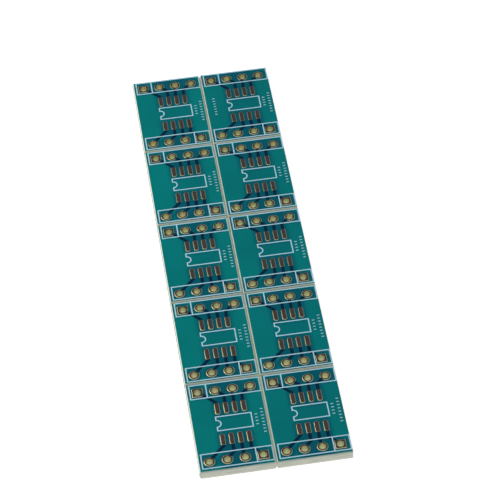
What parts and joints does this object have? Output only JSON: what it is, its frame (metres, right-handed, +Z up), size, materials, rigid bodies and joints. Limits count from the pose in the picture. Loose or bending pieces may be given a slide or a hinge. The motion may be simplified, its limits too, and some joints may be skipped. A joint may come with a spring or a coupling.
{
  "type": "surface-mount to through-hole adapter board panel",
  "caption": "Flat scored panel of small adapter boards, each taking a surface-mount chip's leads out to two rows of header holes.",
  "frame": {"origin": "middle of the panel's underside", "axes": "+X across the panel, +Y along it, +Z up out of the copper face"},
  "size_m": [0.0218, 0.0802, 0.0015],
  "materials": {
    "board": "teal solder mask over glass epoxy, smooth",
    "copper": "thin gold plate on copper"
  },
  "bodies": {
    "root": {"laminate": "board", "board_01_copper": "copper", "board_02_copper": "copper", "board_03_copper": "copper", "board_04_copper": "copper", "board_05_copper": "copper", "board_06_copper": "copper", "board_07_copper": "copper", "board_08_copper": "copper", "board_09_copper": "copper", "board_10_copper": "copper"}
  },
  "joints": []
}
